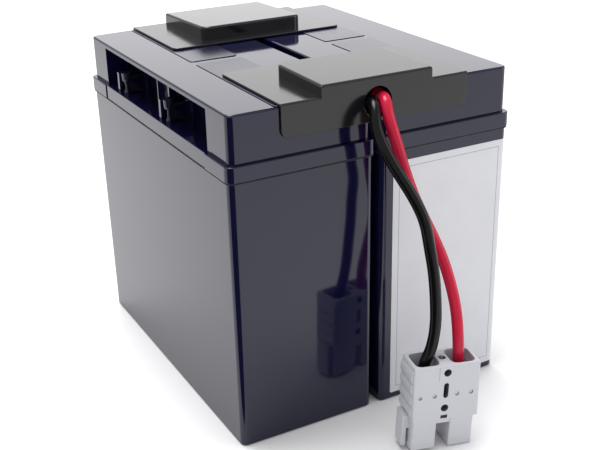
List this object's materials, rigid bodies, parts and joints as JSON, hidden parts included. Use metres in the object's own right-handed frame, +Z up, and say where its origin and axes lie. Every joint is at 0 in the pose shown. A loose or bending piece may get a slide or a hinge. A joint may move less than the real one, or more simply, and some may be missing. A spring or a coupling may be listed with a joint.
{
  "type": "ups battery cartridge",
  "caption": "Sealed lead-acid battery cartridge: blocks side by side under black terminal covers, with red and black leads to a grey power connector.",
  "frame": {"origin": "on the floor under the middle of the pair of blocks", "axes": "+X across the blocks to the right seen from the front, +Y from the front with the connector to the rear, +Z up"},
  "size_m": [0.154, 0.2331, 0.1756],
  "materials": {
    "navy_abs": "moulded ABS, high gloss",
    "black_cover": "satin moulded plastic",
    "cap_rubber": "soft moulded rubber",
    "lead_oxide": "pasted plate, matt brown",
    "lead": "pasted plate, matt grey",
    "glass_mat": "absorbent glass fibre mat",
    "tinned_lead": "dull tinned",
    "epoxy_seal": "potted resin",
    "foam_tape": "closed-cell foam tape",
    "label_film": "bare silver-white film",
    "zinc_steel": "zinc plated",
    "tinned_copper": "tin plated",
    "silvered_copper": "silver plated",
    "spring_steel": "stainless strip",
    "black_insulation": "smooth flexible insulation",
    "red_insulation": "smooth flexible insulation",
    "grey_polycarbonate": "satin moulded polycarbonate"
  },
  "bodies": {
    "root": {"black_contact": "silvered_copper", "black_lead": "black_insulation", "black_lug": "tinned_copper", "black_lug_sleeve": "black_insulation", "connector_housing": "grey_polycarbonate", "contact_springs": "spring_steel", "foam_strips": "foam_tape", "front_cover": "black_cover", "front_cover_tape": "foam_tape", "front_label": "label_film", "jumper_cable": "black_insulation", "jumper_lugs": "tinned_copper", "jumper_sleeves": "black_insulation", "left_case": "navy_abs", "left_lid": "navy_abs", "left_negative_plates": "lead", "left_negative_terminal": "tinned_lead", "left_positive_plates": "lead_oxide", "left_positive_terminal": "tinned_lead", "left_separators": "glass_mat", "left_terminal_seals": "epoxy_seal", "left_valve_caps": "cap_rubber", "left_vent_cover_front": "navy_abs", "left_vent_cover_rear": "navy_abs", "rear_cover": "black_cover", "rear_cover_tape": "foam_tape", "red_contact": "silvered_copper", "red_lead": "red_insulation", "red_lug": "tinned_copper", "red_lug_sleeve": "red_insulation", "right_case": "navy_abs", "right_lid": "navy_abs", "right_negative_plates": "lead", "right_negative_terminal": "tinned_lead", "right_positive_plates": "lead_oxide", "right_positive_terminal": "tinned_lead", "right_separators": "glass_mat", "right_terminal_seals": "epoxy_seal", "right_valve_caps": "cap_rubber", "right_vent_cover_front": "navy_abs", "right_vent_cover_rear": "navy_abs", "terminal_bolts": "zinc_steel", "terminal_nuts": "zinc_steel", "terminal_washers": "zinc_steel"}
  },
  "joints": []
}
